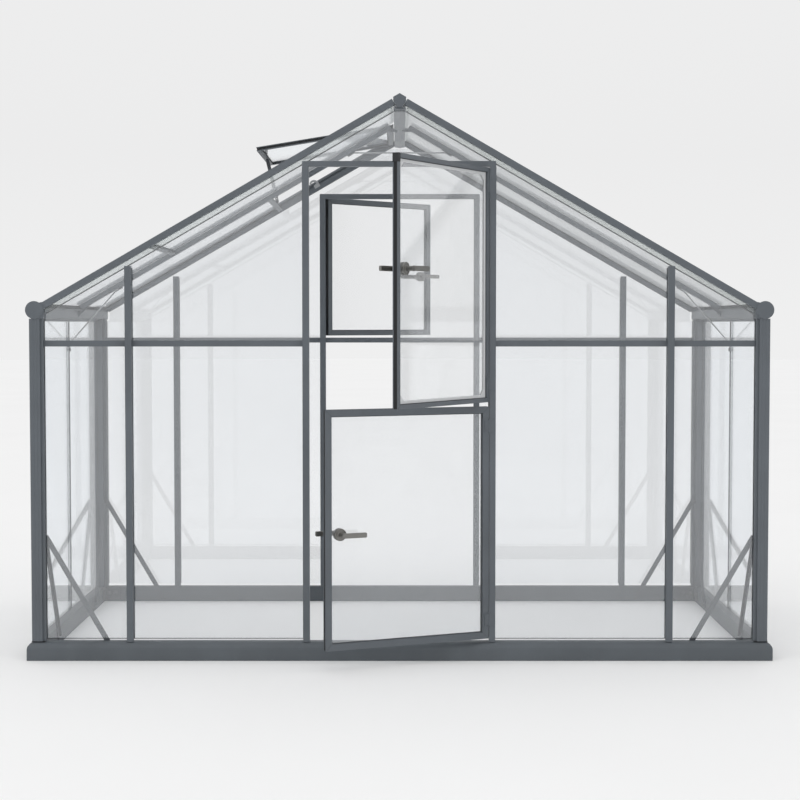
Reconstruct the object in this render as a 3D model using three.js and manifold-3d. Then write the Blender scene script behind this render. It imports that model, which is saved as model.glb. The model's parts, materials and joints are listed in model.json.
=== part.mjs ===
// Walk-in gable greenhouse: powder-coated aluminium frame, clear glass panes,
// a two-leaf door, a rear window sash and a roof vent.
// Millimetres, +X to the right seen from the door end, +Y towards the rear gable, +Z up.
// The origin is the middle of the front base rail's underside.
import * as THREE from 'three';
import { mergeVertices } from 'three/addons/utils/BufferGeometryUtils.js';
import Module from 'manifold-3d';

const wasm = await Module();
wasm.setup();

// ---- driving dimensions -------------------------------------------------
const DEG = Math.PI / 180;
const PITCH = 30 * DEG;              // roof pitch
const SINP = Math.sin(PITCH), COSP = Math.cos(PITCH), TANP = Math.tan(PITCH);
const GAP = 0.3;                     // between pieces that touch
const DEPTH = 1520;                  // front gable face to rear gable face
const BASE_H = 75.4;                 // base rail height
const BASE_D = 60;                   // base rail depth
const BASE_R = 30;                   // rounded outer top edge
const BASE_OUT = 17;                 // base rail stands out past the wall faces
const HALF_W = 1529;                 // wall outer face from the centre line
const BASE_X = HALF_W + 17.5;        // base rail outer face
const POST_W = 58;                   // corner post width
const POST_LEG = 43;                 // corner post leg depth
const POST_TOP = 1417.2;
const GLASS_T = 4;                   // pane thickness
const GLASS_Y = 30;                  // pane plane behind the front wall face
const SIDE_GLASS = 11;               // pane plane behind the side wall faces
const GLASS_LOW = 84;                // bottom edge of the wall panes
const BAR_X = 1120, BAR_W = 27, BAR_D = 22, BAR_TOP = 1633;
const JAMB_X = 385, JAMB_D = 38;
const JAMB_L = [-400.5, -374], JAMB_R = [371.5, 396];   // door jambs, low and high X
const DOOR_HEAD_Z0 = 2041.5, DOOR_HEAD_Z1 = 2063;
const WIN_HEAD_Z0 = 2018, WIN_HEAD_Z1 = 2043;
const RAIL_Z0 = 1302, RAIL_Z1 = 1327, RAIL_T = 7.2;
const APEX_Z = 2335.2;               // where the two rafter top lines meet
const RAFTER_H = 26, RAFTER_D = 30, RAFTER_H_BACK = 34, RAFTER_H_MID = 31;
const RAFTER_S0 = 37.6, RAFTER_S1 = 1702;
const MID_Y = 760;                   // middle frame
const PANE_TOP_DROP = 54;            // front gable pane edge below the rafter top line
const PANE_TOP_DROP_BACK = 42;       // rear gable pane edge below it
const GUTTER_X = 1505, GUTTER_Z = 1452.6, GUTTER_R = 35, CAP_R = 37;
const LEAF_W = 722.5;
const HINGE_X = 369.5;
const LOWER_Z0 = 90, LOWER_Z1 = 1055, LOWER_OPEN = 23.2;
const UPPER_Z0 = 1073, UPPER_Z1 = 2035, UPPER_OPEN = 58.7;
const SASH_Z0 = 1337, SASH_Z1 = 2026.5, SASH_W = 720, SASH_OPEN = 43.8;
const SASH_X = -374, SASH_Y = 1529.5;  // the sash closes over the outside of its surround
const LEVER_U = 657;                 // spindle from the hinge line
const LEVER_LOW_Z = 555, LEVER_UP_Z = 1604.5, LEVER_WIN_Z = 1645;
const VENT_S = 44, VENT_H = -12, VENT_L = 627, VENT_T = 18, VENT_RAIL = 22;
const VENT_Y0 = 778, VENT_Y1 = 1487, VENT_SLOPE = 9.3;

// ---- materials ----------------------------------------------------------
const paint = (c, r) => () => new THREE.MeshStandardMaterial({ color: c, roughness: r, metalness: 0.1 });
const frameMat = paint(0x5b6066, 0.5);
const baseMat = paint(0x4d5157, 0.5);
const leafMat = paint(0x575c62, 0.48);
const stayMat = () => new THREE.MeshStandardMaterial({ color: 0x74787b, roughness: 0.45, metalness: 0.6 });
const leverMat = () => new THREE.MeshStandardMaterial({ color: 0x6c6b66, roughness: 0.35, metalness: 0.9 });
const glassMat = () => new THREE.MeshStandardMaterial({ color: 0xe6ecec, roughness: 0.04, metalness: 0, transparent: true, opacity: 0.25 });

// ---- shape helpers ------------------------------------------------------
const group = new THREE.Group();

function shapeOf(points, holes = []) {
  const outline = points.map(([x, y]) => new THREE.Vector2(x, y));
  if (THREE.ShapeUtils.isClockWise(outline)) outline.reverse();
  const s = new THREE.Shape(outline);
  for (const h of holes) s.holes.push(new THREE.Path(h.map(([x, y]) => new THREE.Vector2(x, y))));
  return s;
}
function prism(points, holes, depth) {
  return new THREE.ExtrudeGeometry(shapeOf(points, holes), { depth, steps: 1, bevelEnabled: false });
}
const rect = (x0, y0, x1, y1) => [[x0, y0], [x1, y0], [x1, y1], [x0, y1]];
function arc(cx, cy, r, a0, a1, n) {
  const out = [];
  for (let i = 0; i <= n; i++) {
    const a = (a0 + (a1 - a0) * i / n) * DEG;
    out.push([cx + r * Math.cos(a), cy + r * Math.sin(a)]);
  }
  return out;
}
// section in X, Y, running up along Z
const alongZ = (pts, holes, z0, z1) => prism(pts, holes, z1 - z0).translate(0, 0, z0);
// section in Y, Z, running along X
function alongX(pts, holes, x0, x1) {
  const m = new THREE.Matrix4().set(0, 0, 1, x0, 1, 0, 0, 0, 0, 1, 0, 0, 0, 0, 0, 1);
  return prism(pts, holes, x1 - x0).applyMatrix4(m);
}
// section in X, Z, running along Y
function alongY(pts, holes, y0, y1) {
  return prism(pts, holes, y1 - y0).rotateX(Math.PI / 2).translate(0, y1, 0);
}
// section in Y, h (h is measured square to the roof slope, from the rafter top line),
// running down the slope from s0 to s1; side is +1 on the right slope, -1 on the left
function downSlope(side, pts, holes, s0, s1) {
  const flip = (list) => list.map(([y, h]) => [side * y, h]);
  const g = prism(flip(pts), holes.map(flip), s1 - s0);
  const ex = side * COSP, ez = -SINP, nx = side * SINP, nz = COSP;
  const m = new THREE.Matrix4().set(
    0, nx, ex, s0 * ex,
    side, 0, 0, 0,
    0, nz, ez, APEX_Z + s0 * ez,
    0, 0, 0, 1);
  return g.applyMatrix4(m);
}
function box(x0, y0, z0, x1, y1, z1) {
  return new THREE.BoxGeometry(x1 - x0, y1 - y0, z1 - z0)
    .translate((x0 + x1) / 2, (y0 + y1) / 2, (z0 + z1) / 2);
}
function solid(geometry) {
  const g = geometry.clone();
  for (const key of Object.keys(g.attributes)) if (key !== 'position') g.deleteAttribute(key);
  const p = g.attributes.position;
  for (let i = 0; i < p.array.length; i++) p.array[i] = Math.round(p.array[i] * 500) / 500;
  const merged = mergeVertices(g, 5e-4);
  return new wasm.Manifold(new wasm.Mesh({
    numProp: 3,
    vertProperties: Float32Array.from(merged.attributes.position.array),
    triVerts: Uint32Array.from(merged.index.array),
  }));
}
function geometryOf(manifold) {
  const mesh = manifold.getMesh();
  const g = new THREE.BufferGeometry();
  g.setAttribute('position', new THREE.BufferAttribute(Float32Array.from(mesh.vertProperties), 3));
  g.setIndex(new THREE.BufferAttribute(Uint32Array.from(mesh.triVerts), 1));
  g.computeVertexNormals();
  return g;
}
const join = (...list) => geometryOf(list.slice(1).reduce((a, b) => a.add(solid(b)), solid(list[0])));
function cut(body, ...tools) {
  return geometryOf(tools.reduce((a, b) => a.subtract(solid(b)), solid(body)));
}
function add(name, geometry, material, parent = group) {
  const mesh = new THREE.Mesh(geometry, material());
  mesh.name = name;
  parent.add(mesh);
  return mesh;
}
const mirrorX = (pts) => pts.map(([x, y]) => [-x, y]);
const roofZ = (x, drop) => APEX_Z - drop - TANP * Math.abs(x);

// ---- base rails ---------------------------------------------------------
// A box rail with a rounded outer top edge; both ends are mitred at 45 degrees.
// Section in (d, z): d runs inward from the outer face.
const baseSection = [
  [0, 0], [BASE_D, 0], [BASE_D, BASE_H],
  ...arc(BASE_R, BASE_H - BASE_R, BASE_R, 90, 180, 6),
];
const baseHole = [
  [2.5, 2.5], [BASE_D - 2.5, 2.5], [BASE_D - 2.5, BASE_H - 2.5],
  ...arc(BASE_R, BASE_H - BASE_R, BASE_R - 2.5, 90, 180, 6),
];
function mitredRail(half) {
  // built along X with d along +Y, then each end plane is sheared to 45 degrees
  const g = alongX(baseSection, [baseHole], -1, 1);
  const p = g.attributes.position;
  for (let i = 0; i < p.count; i++) {
    const end = Math.sign(p.getX(i));
    p.setX(i, end * (half - p.getY(i) - GAP / 2));
  }
  g.computeVertexNormals();
  return g;
}
const baseMidY = DEPTH / 2;
{
  add('base_rail_front', mitredRail(BASE_X), baseMat).position.set(0, -BASE_OUT, 0);
  const back = add('base_rail_back', mitredRail(BASE_X), baseMat);
  back.rotation.z = Math.PI;
  back.position.set(0, DEPTH + BASE_OUT, 0);
  const halfLen = DEPTH / 2 + BASE_OUT;
  const right = add('base_rail_right', mitredRail(halfLen), baseMat);
  right.rotation.z = Math.PI / 2;
  right.position.set(BASE_X, baseMidY, 0);
  const left = add('base_rail_left', mitredRail(halfLen), baseMat);
  left.rotation.z = -Math.PI / 2;
  left.position.set(-BASE_X, baseMidY, 0);
}

// ---- corner posts -------------------------------------------------------
// Section in (a, b): a inward from the side face, b inward from the gable face.
// Shallow ribs run up both outer faces, and a slot in each leg takes a pane.
{
  const L = POST_LEG, W = POST_W, g0 = GLASS_Y - 0.4, slot = 6;
  const leg = (glass) => [
    [9, 0], [18, 0], [19, 0.6], [22, 0.6], [23, 0], [32, 0], [33, 0.6], [36, 0.6], [37, 0],
    [46, 0], [46, 9], [W, 9], [W, glass - 0.4], [W - slot, glass - 0.4], [W - slot, glass + GLASS_T + 0.4],
    [W, glass + GLASS_T + 0.4], [W, L], [L, L],
  ];
  const sideLeg = leg(SIDE_GLASS).slice(0, -1).map(([a, b]) => [b, a]).reverse();
  const outline = [...leg(GLASS_Y), ...sideLeg, [2.6, 2.6]];
  const hole = [[5, 5], [42, 5], [42, 12], [W - 10, 12], [W - 10, g0 - 3], [g0 - 3, g0 - 3], [g0 - 3, W - 10], [12, W - 10], [12, 42], [5, 42]];
  for (const [name, sx, back] of [
    ['corner_post_front_left', -1, false], ['corner_post_front_right', 1, false],
    ['corner_post_back_left', -1, true], ['corner_post_back_right', 1, true]]) {
    const place = ([a, b]) => [sx * (HALF_W - a), back ? DEPTH - b : b];
    add(name, alongZ(outline.map(place), [hole.map(place)], BASE_H + GAP, POST_TOP), frameMat);
  }
}

// ---- gable bars, door and window surrounds, mid rails -------------------
const barZ0 = BASE_H + GAP;
function bar(name, xc, y0, z1) {
  const x0 = xc - BAR_W / 2, x1 = xc + BAR_W / 2, y1 = y0 + BAR_D;
  const outline = [[x0, y0 + 1], [x0 + 1, y0], [x1 - 1, y0], [x1, y0 + 1], [x1, y1], [x0, y1]];
  add(name, alongZ(outline, [rect(x0 + 2, y0 + 2, x1 - 2, y1 - 2)], barZ0, z1), frameMat);
}
const BACK_BAR_Y = DEPTH - 38;
bar('gable_bar_front_left', -BAR_X, 0, BAR_TOP);
bar('gable_bar_front_right', BAR_X, 0, BAR_TOP);
bar('gable_bar_back_left', -BAR_X, BACK_BAR_Y, BAR_TOP);
bar('gable_bar_back_right', BAR_X, BACK_BAR_Y, BAR_TOP);

// Door surround: two jambs and a header in one welded frame, slotted for the panes.
{
  const g0 = GLASS_Y - 0.4, g1 = GLASS_Y + GLASS_T + 0.4;
  const jamb = ([lo, hi], side) => {
    const out = side < 0 ? lo : hi, inn = side < 0 ? hi : lo;
    return alongZ([[inn, 0], [out, 0], [out, g0], [out - side * 6, g0], [out - side * 6, g1], [out, g1], [out, JAMB_D], [inn, JAMB_D]],
      [rect(lo + 2.5, 2.5, hi - 2.5, 24)], barZ0, DOOR_HEAD_Z1);
  };
  const header = alongX([[0, DOOR_HEAD_Z0], [JAMB_D, DOOR_HEAD_Z0], [JAMB_D, DOOR_HEAD_Z1],
    [g1, DOOR_HEAD_Z1], [g1, DOOR_HEAD_Z1 - 4], [g0, DOOR_HEAD_Z1 - 4], [g0, DOOR_HEAD_Z1], [0, DOOR_HEAD_Z1]],
  [], JAMB_L[1] - 1, JAMB_R[0] + 1);
  add('door_surround', join(jamb(JAMB_L, -1), jamb(JAMB_R, 1), header), frameMat);
}
// Window surround: jambs down to the base rail and a header, the mid rail passes behind it.
{
  const w = BAR_W / 2, y0 = BACK_BAR_Y, y1 = BACK_BAR_Y + BAR_D;
  const jamb = (xc) => alongZ(rect(xc - w, y0, xc + w, y1), [rect(xc - w + 2, y0 + 2, xc + w - 2, y1 - 2)], barZ0, WIN_HEAD_Z1);
  const header = alongX(rect(y0, WIN_HEAD_Z0, y1, WIN_HEAD_Z1), [], -(JAMB_X - w) - 1, JAMB_X - w + 1);
  add('window_surround', join(jamb(-JAMB_X), jamb(JAMB_X), header), frameMat);
}
const railX1 = HALF_W - POST_W - GAP;
add('mid_rail_front_left', alongX(rect(BAR_D + GAP, RAIL_Z0, BAR_D + GAP + RAIL_T, RAIL_Z1), [], -railX1, JAMB_L[0] - GAP), frameMat);
add('mid_rail_front_right', alongX(rect(BAR_D + GAP, RAIL_Z0, BAR_D + GAP + RAIL_T, RAIL_Z1), [], JAMB_R[1] + GAP, railX1), frameMat);
add('mid_rail_back', alongX(rect(BACK_BAR_Y + BAR_D + GAP, RAIL_Z0, BACK_BAR_Y + BAR_D + GAP + RAIL_T, RAIL_Z1), [], -railX1, railX1), frameMat);

// ---- side bars ----------------------------------------------------------
const sideOut = HALF_W - SIDE_GLASS; // outer face of the side panes
for (const [name, s] of [['side_bar_left', -1], ['side_bar_right', 1]]) {
  const a = s * (sideOut + GAP), b = s * (sideOut + GAP + 6);
  add(name, alongZ(rect(Math.min(a, b), MID_Y - 13.5, Math.max(a, b), MID_Y + 13.5), [], barZ0, POST_TOP - 3), frameMat);
}

// ---- eaves gutters with end caps ----------------------------------------
for (const [name, s] of [['eaves_gutter_left', -1], ['eaves_gutter_right', 1]]) {
  const t = 3;
  const section = [
    ...arc(GUTTER_X, GUTTER_Z, GUTTER_R, 48, -180, 19),
    [GUTTER_X - GUTTER_R, GUTTER_Z + 9],
    [GUTTER_X - GUTTER_R + t, GUTTER_Z + 9],
    ...arc(GUTTER_X, GUTTER_Z, GUTTER_R - t, -180, 48, 19),
  ];
  const channel = alongY(s > 0 ? section : mirrorX(section), [], 1, DEPTH - 1);
  const web = box(Math.min(s * 1467.6, s * 1471.2), 1, 1421, Math.max(s * 1467.6, s * 1471.2), DEPTH - 1, GUTTER_Z + 3);
  const disc = (r, y0, y1) => alongY(arc(s * GUTTER_X, GUTTER_Z, r, 0, 345, 23), [], y0, y1);
  const caps = [disc(CAP_R, -4, -0.4), disc(GUTTER_R, -1, 3), disc(CAP_R, DEPTH + 0.4, DEPTH + 4), disc(GUTTER_R, DEPTH - 3, DEPTH + 1)];
  add(name, join(channel, web, ...caps), frameMat);
}

// ---- ridge beam with its end caps ---------------------------------------
{
  const outer = [[0, 2336.5], [25, 2322], [24.2, 2309.5], [9.5, 2284], [9.5, 2280.5], [25, 2280.5], [25, 2277.5], [0, 2273.5]];
  const section = [...outer, ...mirrorX(outer.slice(1, -1)).reverse()];
  const hole = [[0, 2333], [21, 2320.8], [20.5, 2310.5], [6.5, 2286.5], [-6.5, 2286.5], [-20.5, 2310.5], [-21, 2320.8]];
  const cap = [[0, 2339], [26.8, 2323.6], [25.8, 2309], [9.6, 2281.2], [-9.6, 2281.2], [-25.8, 2309], [-26.8, 2323.6]];
  const beam = solid(alongY(section, [hole], 2, DEPTH - 2));
  const front = solid(alongY(cap, [], -4, 3));
  const back = solid(alongY(cap, [], DEPTH - 3, DEPTH + 4));
  const drain = solid(alongY(rect(-4, 2292, 4, 2300), [], DEPTH - 8, DEPTH + 8));
  add('ridge_beam', geometryOf(beam.add(front).add(back).subtract(drain)), frameMat);
}

// ---- rafters ------------------------------------------------------------
for (const [tag, side] of [['left', -1], ['right', 1]]) {
  const ledge = 9.5;
  const outer = (H) => [[0, 0], [20, 0], [20, -ledge], [RAFTER_D, -ledge], [RAFTER_D, -H], [0, -H]];
  const inner = (H) => [[2, -2], [18, -2], [18, -ledge - 2], [RAFTER_D - 2, -ledge - 2], [RAFTER_D - 2, -H + 2], [2, -H + 2]];
  const toBack = ([y, h]) => [DEPTH - y, h];
  add(`rafter_front_${tag}`, downSlope(side, outer(RAFTER_H), [inner(RAFTER_H)], RAFTER_S0, RAFTER_S1), frameMat);
  add(`rafter_back_${tag}`, downSlope(side, outer(RAFTER_H_BACK).map(toBack), [inner(RAFTER_H_BACK).map(toBack)],
    RAFTER_S0, RAFTER_S1), frameMat);
  add(`rafter_middle_${tag}`, downSlope(side, rect(MID_Y - 15, -RAFTER_H_MID, MID_Y + 15, -9.5),
    [rect(MID_Y - 13, 2 - RAFTER_H_MID, MID_Y + 13, -11.5)], 60, 1695), frameMat);
}

// ---- corner braces ------------------------------------------------------
// Strip bent round the inner corner of the post, one leg in each wall plane;
// the leg in the side wall is folded to an angle.
{
  const t = 3, w = 22, lip = 14, topZ = 505, botZ = 14, run = 0.58 * (topZ - botZ);
  for (const [name, sx, back] of [
    ['corner_brace_front_left', -1, false], ['corner_brace_front_right', 1, false],
    ['corner_brace_back_left', -1, true], ['corner_brace_back_right', 1, true]]) {
    const len = Math.hypot(run, topZ - botZ), ux = run / len, uz = (topZ - botZ) / len;
    // strip outline between two bolt centres, with 45-degree clipped ends
    const strip = (c0, dir) => {
      const px = (k, q) => [c0 + dir * (k * ux + q * uz), topZ - k * uz + q * ux];
      return [px(-8, -w / 2 + 3), px(-5, -w / 2), px(len + 5, -w / 2), px(len + 8, -w / 2 + 3),
        px(len + 8, w / 2 - 3), px(len + 5, w / 2), px(-5, w / 2), px(-8, w / 2 - 3)];
    };
    const face = HALF_W - POST_LEG;                   // inner face of the post's side leg
    const fy = (v) => (back ? DEPTH - v : v);
    const gx = strip(sx * (HALF_W - 57), -sx);         // leg in the gable plane
    const y0 = POST_LEG + GAP, y1 = y0 + t;
    const gable = alongY(gx, [], Math.min(fy(y0), fy(y1)), Math.max(fy(y0), fy(y1)));
    const gy = strip(fy(57), back ? -1 : 1);           // leg in the side plane, section (Y, Z)
    const xa = sx * (face - GAP - t), xb = sx * (face - GAP), xc = sx * (face - GAP - lip);
    const sideLeg = alongX(gy, [], Math.min(xa, xb), Math.max(xa, xb));
    const dy = back ? -1 : 1;
    const at = (k, q) => [fy(57) + dy * (k * ux + q * uz), topZ - k * uz + q * ux];
    const fold = alongX([at(14, w / 2 - t), at(len - 22, w / 2 - t), at(len - 22, w / 2), at(14, w / 2)],
      [], Math.min(xb, xc), Math.max(xb, xc));
    const tabA = box(Math.min(sx * 1466, xb), Math.min(fy(y0), fy(y1)), topZ - 7, Math.max(sx * 1466, xb), Math.max(fy(y0), fy(y1)), topZ + 7);
    const tabB = box(Math.min(xa, xb), Math.min(fy(y0), fy(58)), topZ - 7, Math.max(xa, xb), Math.max(fy(y0), fy(58)), topZ + 7);
    add(name, join(gable, sideLeg, fold, tabA, tabB), stayMat);
  }
}

// ---- ties of the middle frame -------------------------------------------
function rod(points, r) {
  const section = arc(0, 0, r, 0, 315, 7);
  const pieces = [];
  for (let i = 1; i < points.length; i++) {
    const a = new THREE.Vector3(...points[i - 1]), b = new THREE.Vector3(...points[i]);
    const d = b.clone().sub(a), len = d.length();
    const g = prism(section, [], len + 1);
    g.translate(0, 0, -0.5);
    g.applyQuaternion(new THREE.Quaternion().setFromUnitVectors(new THREE.Vector3(0, 0, 1), d.normalize()));
    pieces.push(g.translate(...a.toArray()));
  }
  return join(...pieces);
}
for (const [tag, s] of [['left', -1], ['right', 1]]) {
  const foot = s * (sideOut - GLASS_T - 3.6);
  add(`knee_rod_${tag}`, rod([[foot, MID_Y, 1284], [foot, MID_Y, 1306], [s * 1300.8, MID_Y, 1541.5], [s * 1265.8, MID_Y, 1562]], 3), stayMat);
}
add('collar_tie', rod([[-235, MID_Y, 2156.8], [-207, MID_Y, 2173], [207, MID_Y, 2173], [235, MID_Y, 2156.8]], 3.2), stayMat);

// ---- fixed panes --------------------------------------------------------
const gableTop = (x) => roofZ(x, PANE_TOP_DROP);
const backTop = (x) => roofZ(x, PANE_TOP_DROP_BACK);
const BACK_PANE_Y = DEPTH - 8;       // rear panes sit outside the rear bars
{
  const x1 = HALF_W - POST_W + 5, xb = HALF_W - POST_W - 0.6;
  for (const [tag, s, x0] of [['left', -1, -JAMB_L[0] - 5], ['right', 1, JAMB_R[1] - 5]]) {
    const front = [[s * x0, GLASS_LOW], [s * x1, GLASS_LOW], [s * x1, 1409], [s * 1462, 1412],
      [s * 1462, gableTop(1462)], [s * x0, gableTop(x0)]];
    add(`pane_front_${tag}`, alongY(front, [], GLASS_Y, GLASS_Y + GLASS_T), glassMat);
    const back = [[s * JAMB_X, GLASS_LOW], [s * xb, GLASS_LOW], [s * xb, 1412], [s * 1458, 1412],
      [s * 1458, backTop(1458)], [s * JAMB_X, backTop(JAMB_X)]];
    add(`pane_back_${tag}`, alongY(back, [], BACK_PANE_Y, BACK_PANE_Y + GLASS_T), glassMat);
  }
  const zf = DOOR_HEAD_Z1 - 3.5, xf = (APEX_Z - PANE_TOP_DROP - (DOOR_HEAD_Z1 + 6)) / TANP;
  add('pane_front_top', alongY([[-xf, zf], [xf, zf], [xf, DOOR_HEAD_Z1 + 6], [24, gableTop(24)], [-24, gableTop(24)],
    [-xf, DOOR_HEAD_Z1 + 6]], [], GLASS_Y, GLASS_Y + GLASS_T), glassMat);
  const jb = JAMB_X - GAP;
  add('pane_back_top', alongY([[-jb, WIN_HEAD_Z1 - 12], [jb, WIN_HEAD_Z1 - 12], [jb, backTop(jb)], [40, backTop(40)],
    [-40, backTop(40)], [-jb, backTop(jb)]], [], BACK_PANE_Y, BACK_PANE_Y + GLASS_T), glassMat);
}
for (const [tag, s] of [['left', -1], ['right', 1]]) {
  const a = s * (sideOut - GLASS_T), b = s * sideOut;
  add(`pane_side_${tag}`, alongZ(rect(Math.min(a, b), POST_W - 5, Math.max(a, b), DEPTH - POST_W + 5), [], GLASS_LOW, 1411), glassMat);
}
// Roof panes lie on the ledges of the outer rafters and on top of the middle one.
const roofTop = -5, roofLow = -5 - GLASS_T;
const roofY0 = 20.6, roofY1 = DEPTH - 20.6, roofS0 = 41, roofS1 = 1706, SILL_S0 = 690, SILL_S1 = 712;
add('pane_roof_right', downSlope(1, rect(roofY0, roofLow, roofY1, roofTop), [], roofS0, roofS1), glassMat);
add('pane_roof_left_front', downSlope(-1, rect(roofY0, roofLow, MID_Y - 0.6, roofTop), [], roofS0, roofS1), glassMat);
add('pane_roof_left_back', downSlope(-1, rect(MID_Y + 0.6, roofLow, roofY1, roofTop), [], SILL_S0 + 4, roofS1), glassMat);

// ---- left slope: vent sill ----------------------------------------------
add('vent_sill', downSlope(-1, rect(MID_Y + 15 + GAP, -31, DEPTH - RAFTER_D - GAP, -9.3),
  [rect(MID_Y + 15 + 3, -29, DEPTH - RAFTER_D - 3, -11.5)], SILL_S0, SILL_S1), frameMat);

// Glazing crossbar under the front bay of the left slope, ending just past the middle rafter.
{
  const s = 1040 / COSP;
  add('roof_crossbar', downSlope(-1, rect(RAFTER_D + GAP, -27, MID_Y - 15 - GAP, -9.3),
    [rect(RAFTER_D + 3, -25, MID_Y - 18, -11.3)], s - 9, s + 9), frameMat);
}

// ---- hinged leaves ------------------------------------------------------
// Leaf coordinates: x runs from the hinge line (0) to the free edge (-w),
// y from the outer face (0) inward, z up. The group stands at the hinge.
function ring(x0, z0, x1, z1, a, b, y0, y1) {
  return alongY(rect(x0 + a, z0 + a, x1 - a, z1 - a), [rect(x0 + b, z0 + b, x1 - b, z1 - b)], y0, y1);
}
function leaf(prefix, x, y, degrees, w, z0, z1, leverZ, leverName, rail = 25, t = 25) {
  const g = new THREE.Group();
  g.position.set(x, y, 0);
  g.rotation.z = degrees * DEG;
  group.add(g);
  const body = ring(-w, z0, 0, z1, 0, rail, 0, t);
  const channel = ring(-w, z0, 0, z1, -1, rail - 11, 4, t - 4);
  const rebate = ring(-w, z0, 0, z1, rail - 6, rail + 1, 10.4, 15.6);
  add(`${prefix}_frame`, cut(body, channel, rebate), leafMat, g);
  const u = LEVER_U;
  const inset = rail - 5.4;
  const pane = alongY(rect(-w + inset, z0 + inset, -inset, z1 - inset), [], 11, 15);
  const hole = alongY(arc(-u, leverZ, 11, 0, 345, 23), [], 8, 18);
  add(`${prefix}_glass`, cut(pane, hole), glassMat, g);
  // Through lever: a rosette, a neck and a flat lever on each face, one spindle.
  const round = (r, n, y0, y1) => alongY(arc(-u, leverZ, r, 0, 360 - 360 / n, n - 1), [], y0, y1);
  const lever = (dir, len, y0, y1) => alongY([
    ...arc(-u, leverZ, 10, dir > 0 ? 90 : -90, dir > 0 ? 270 : 90, 8),
    [-u + dir * (len - 3), leverZ - dir * 10], [-u + dir * len, leverZ - dir * 7],
    [-u + dir * len, leverZ + dir * 7], [-u + dir * (len - 3), leverZ + dir * 10],
  ], [], y0, y1);
  add(leverName, join(
    round(6, 12, -34, 64),
    round(25, 28, 3.5, 10.4), round(25, 28, 15.6, 22.5),
    round(9.5, 16, -34, 4), round(9.5, 16, 22, 64),
    lever(1, 95, -44, -33), lever(-1, 82, 63, 74),
  ), leverMat, g);
}
leaf('lower_door', HINGE_X, 0, LOWER_OPEN, LEAF_W, LOWER_Z0, LOWER_Z1, LEVER_LOW_Z, 'lower_lever', 27);
leaf('upper_door', HINGE_X, 0, UPPER_OPEN, LEAF_W, UPPER_Z0, UPPER_Z1, LEVER_UP_Z, 'upper_lever', 17, 24);
leaf('rear_window', SASH_X, SASH_Y, 180 + SASH_OPEN, SASH_W, SASH_Z0, SASH_Z1, LEVER_WIN_Z, 'window_lever');

// ---- roof vent ----------------------------------------------------------
// Vent coordinates: x from the hinge line (0) to the free edge (-x), z outward.
{
  const g = new THREE.Group();
  g.position.set(-(VENT_S * COSP) - VENT_H * SINP, 0, APEX_Z - VENT_S * SINP + VENT_H * COSP);
  g.rotation.y = -VENT_SLOPE * DEG;
  group.add(g);
  const x0 = -4 - VENT_L, x1 = -4;
  const ventRing = (a, b, z0, z1) => alongZ(rect(x0 + a, VENT_Y0 + a, x1 - a, VENT_Y1 - a),
    [rect(x0 + b, VENT_Y0 + b, x1 - b, VENT_Y1 - b)], z0, z1);
  const body = ventRing(0, VENT_RAIL, -VENT_T, 0);
  add('vent_frame', cut(body, ventRing(-1, 12, -VENT_T + 4, -4), ventRing(17, VENT_RAIL + 1, -11.6, -6.4)), leafMat, g);
  add('vent_glass', alongZ(rect(x0 + 17.6, VENT_Y0 + 17.6, x1 - 17.6, VENT_Y1 - 17.6), [], -11, -7), glassMat, g);
  // Peg stay: a flat bar with peg holes, hung from the free rail on a pin.
  const pin = new THREE.Group();
  pin.position.set(-612, (VENT_Y0 + VENT_Y1) / 2, -VENT_T - 8);
  pin.rotation.y = 0;
  g.add(pin);
  const bar = prism([...arc(0, 0, 6.5, -90, 90, 8), [-14, 8.5], [-170, 8.5], ...arc(-205, 0, 6.5, 90, 270, 8), [-170, -8.5], [-14, -8.5]],
    [arc(-190, 0, 2.6, 0, 315, 7), arc(-150, 0, 2.6, 0, 315, 7), arc(-110, 0, 2.6, 0, 315, 7), arc(-70, 0, 2.6, 0, 315, 7)], 3);
  bar.translate(0, 0, -1.5);
  bar.rotateX(Math.PI / 2);                       // bar lies in the X, Z plane
  bar.rotateY(-(90 + 4.2) * DEG);                 // and hangs down to the sill
  const boss = alongY(arc(0, 0, 5, 0, 330, 11), [], -6, 6);
  add('vent_stay', join(bar, boss), stayMat, pin);
}

export default group;
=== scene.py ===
import bpy
import bmesh
import json
import math
from mathutils import Matrix, Vector


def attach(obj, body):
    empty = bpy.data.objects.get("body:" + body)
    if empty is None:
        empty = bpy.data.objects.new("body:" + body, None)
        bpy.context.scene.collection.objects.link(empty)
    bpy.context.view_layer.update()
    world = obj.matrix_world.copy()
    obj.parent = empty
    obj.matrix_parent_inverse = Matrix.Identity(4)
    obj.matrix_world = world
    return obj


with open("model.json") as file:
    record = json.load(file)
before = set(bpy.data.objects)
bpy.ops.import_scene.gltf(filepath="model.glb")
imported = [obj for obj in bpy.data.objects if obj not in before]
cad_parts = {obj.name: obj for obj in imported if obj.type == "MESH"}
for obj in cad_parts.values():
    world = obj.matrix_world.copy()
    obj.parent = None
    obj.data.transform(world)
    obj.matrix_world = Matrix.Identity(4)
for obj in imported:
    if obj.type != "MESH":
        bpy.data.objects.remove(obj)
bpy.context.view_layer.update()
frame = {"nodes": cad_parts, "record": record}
scene = bpy.context.scene
scene.view_settings.view_transform = "Standard"
scene.view_settings.look = "None"
scene.cycles.transparent_max_bounces = 48
scene.cycles.max_bounces = 24
scene.cycles.glossy_bounces = 8

# ---------------------------------------------------------------- camera
cam_data = bpy.data.cameras.new("cam")
cam_data.lens = 75.1
cam_data.sensor_width = 36.0
cam_data.clip_end = 200.0
cam = bpy.data.objects.new("cam", cam_data)
cam.location = (0.0014, -6.88, 1.395)
cam.rotation_euler = (math.radians(90.0 - 2.607), 0.0, 0.0)
scene.collection.objects.link(cam)
scene.camera = cam

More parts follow.
